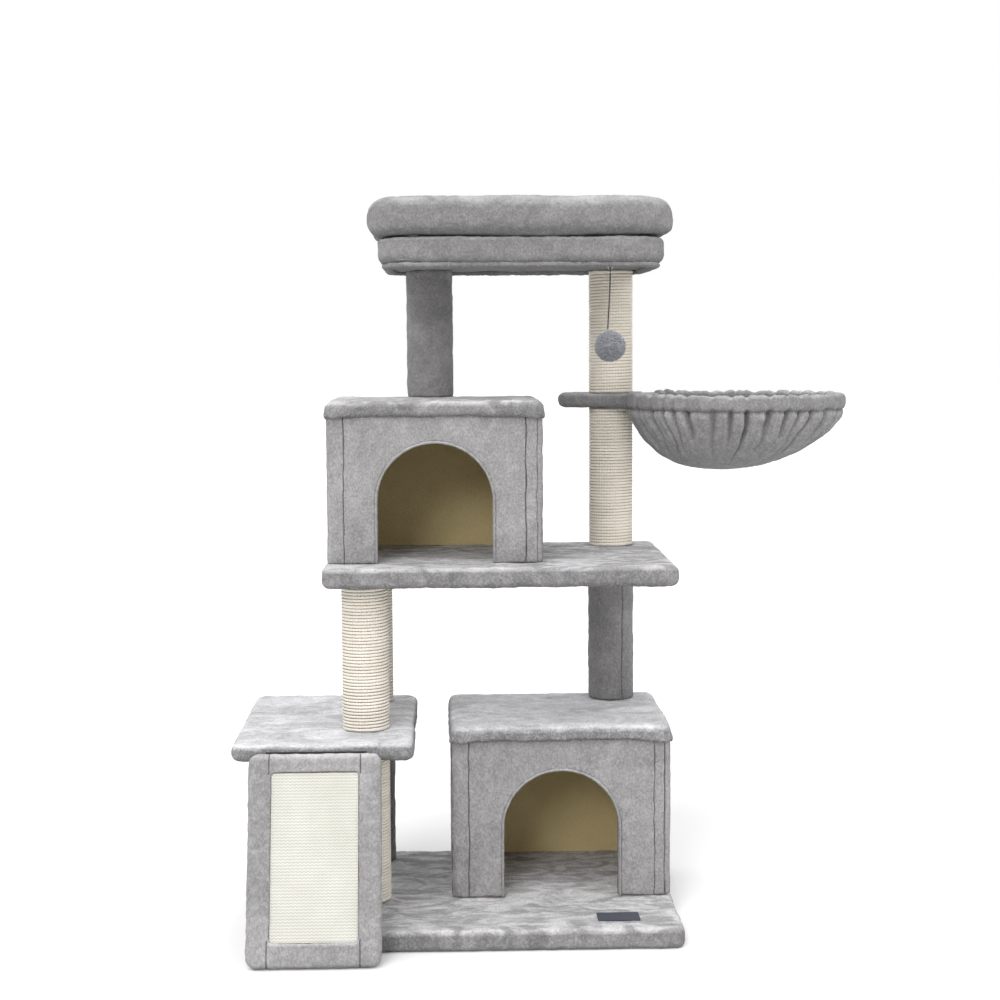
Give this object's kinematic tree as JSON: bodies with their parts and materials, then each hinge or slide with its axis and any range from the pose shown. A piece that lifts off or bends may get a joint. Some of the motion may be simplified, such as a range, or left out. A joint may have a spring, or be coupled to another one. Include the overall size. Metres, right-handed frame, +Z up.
{
  "type": "cat tree",
  "caption": "Tall plush cat tree with boxed condos, sisal posts, platforms, a padded top perch, a hoop hammock, a scratching ramp and a hanging pompom.",
  "frame": {"origin": "centre of the base's flat underside", "axes": "+Z up, -Y to the front where the doors and the ramp are, +X to the side the hammock is on"},
  "size_m": [0.9055, 0.5062, 1.0503],
  "materials": {
    "plush": "short pile plush, light grey",
    "sisal": "wound sisal rope and woven sisal mat, cream",
    "lining": "thin flat cloth, khaki",
    "board": "raw particle board",
    "paper": "pressed paper tube",
    "steel": "zinc plated",
    "cord": "black twisted cord and woven tape",
    "label": "blank woven label, navy"
  },
  "bodies": {
    "frame": {"base_board": "board", "base_cover": "plush", "left_platform_board": "board", "left_platform_cover": "plush", "middle_platform_board": "board", "middle_platform_cover": "plush", "lower_condo_roof_board": "board", "lower_condo_roof_cover": "plush", "upper_condo_roof_board": "board", "upper_condo_roof_cover": "plush", "perch_board": "board", "perch_cover": "plush", "left_front_lower_post_core": "paper", "left_front_lower_post_sisal": "sisal", "left_front_upper_post_core": "paper", "left_front_upper_post_sisal": "sisal", "left_rear_lower_post_core": "paper", "left_rear_lower_post_plush": "plush", "left_rear_upper_post_core": "paper", "left_rear_upper_post_sisal": "sisal", "right_lower_post_core": "paper", "right_lower_post_plush": "plush", "right_middle_post_core": "paper", "right_middle_post_sisal": "sisal", "right_upper_post_core": "paper", "right_upper_post_sisal": "sisal", "top_left_post_core": "paper", "top_left_post_plush": "plush", "left_front_bolt": "steel", "left_rear_bolt": "steel", "right_bolt": "steel", "top_left_bolt": "steel", "lower_condo_sleeve": "plush", "lower_condo_lining": "lining", "lower_condo_front_panel": "board", "lower_condo_back_panel": "board", "lower_condo_left_panel": "board", "lower_condo_right_panel": "board", "upper_condo_sleeve": "plush", "upper_condo_lining": "lining", "upper_condo_front_panel": "board", "upper_condo_back_panel": "board", "upper_condo_left_panel": "board", "upper_condo_right_panel": "board", "base_tag": "label", "perch_bolster": "plush", "perch_pad": "plush", "ramp_hinge_tape": "cord", "toy_eye": "steel"},
    "hammock": {"hammock_plate_board": "board", "hammock_plate_cover": "plush", "hammock_hoop": "steel", "hammock_bowl": "plush"},
    "ramp": {"ramp_board": "board", "ramp_cover": "plush", "ramp_mat": "sisal"},
    "toy_loop": {"toy_loop": "cord"},
    "toy": {"toy_string": "cord", "toy_pompom": "plush"}
  },
  "joints": [
    {"name": "hammock_swivel", "type": "hinge", "parent": "frame", "child": "hammock", "pos_m": [0.233, 0.158, 0.753], "axis": [0, 0, 1], "range_deg": [-35, 85]},
    {"name": "ramp_hinge", "type": "hinge", "parent": "frame", "child": "ramp", "pos_m": [-0.208, -0.162, 0.272], "axis": [-1, 0, 0], "range_deg": [0, 65]},
    {"name": "toy_fore_aft", "type": "hinge", "parent": "frame", "child": "toy_loop", "pos_m": [0.212, -0.06, 0.9454], "axis": [1, 0, 0], "range_deg": [-60, 60]},
    {"name": "toy_sideways", "type": "hinge", "parent": "toy_loop", "child": "toy", "pos_m": [0.212, -0.06, 0.9413], "axis": [0, 1, 0], "range_deg": [-60, 60]}
  ]
}
